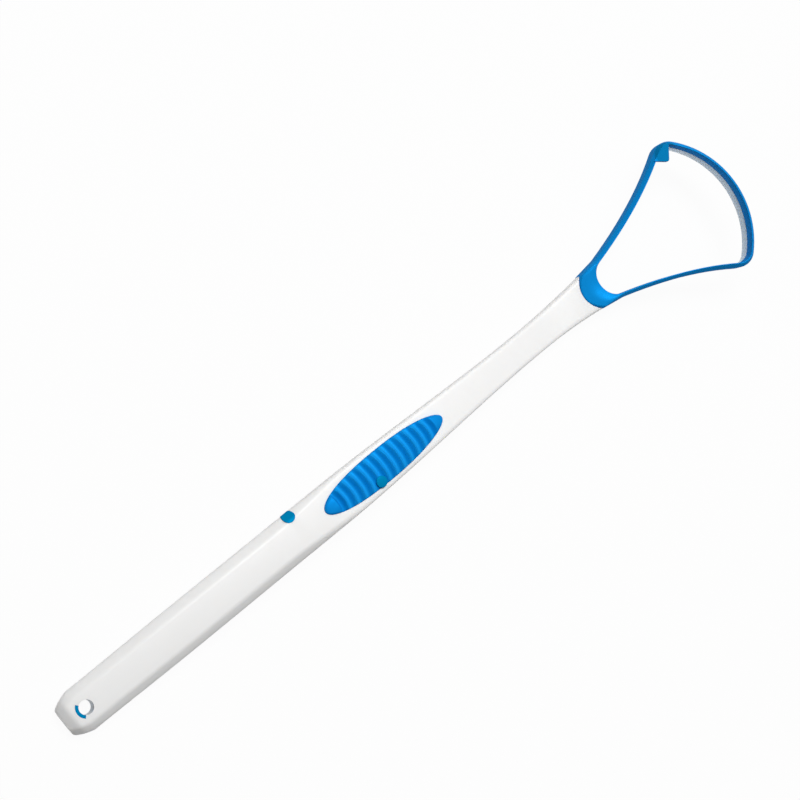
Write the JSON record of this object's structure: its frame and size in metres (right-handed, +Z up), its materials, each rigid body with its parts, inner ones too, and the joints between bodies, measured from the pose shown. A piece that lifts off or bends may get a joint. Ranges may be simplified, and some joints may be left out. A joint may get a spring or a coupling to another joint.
{
  "type": "tongue scraper",
  "caption": "Flat bevelled plastic handle with a ribbed thumb pad and a hanging hole, ending in a fan-shaped ribbon loop with a scraping strip along its arc.",
  "frame": {"origin": "on the surface that the scraper rests on, under the middle of its length and width", "axes": "+X along the handle towards the head, +Z up, the side with the thumb pad"},
  "size_m": [0.197, 0.035, 0.0152],
  "materials": {
    "white_plastic": "satin moulded polypropylene",
    "white_strip": "satin moulded polypropylene",
    "blue_loop": "smooth semi-gloss",
    "blue_pad": "smooth semi-gloss, ribbed",
    "blue_marks": "smooth"
  },
  "bodies": {
    "root": {"handle": "white_plastic", "thumb_pad": "blue_pad", "side_plug": "blue_marks", "eyelet_liner": "blue_marks", "head_frame": "blue_loop", "scraping_blade": "white_strip"}
  },
  "joints": []
}
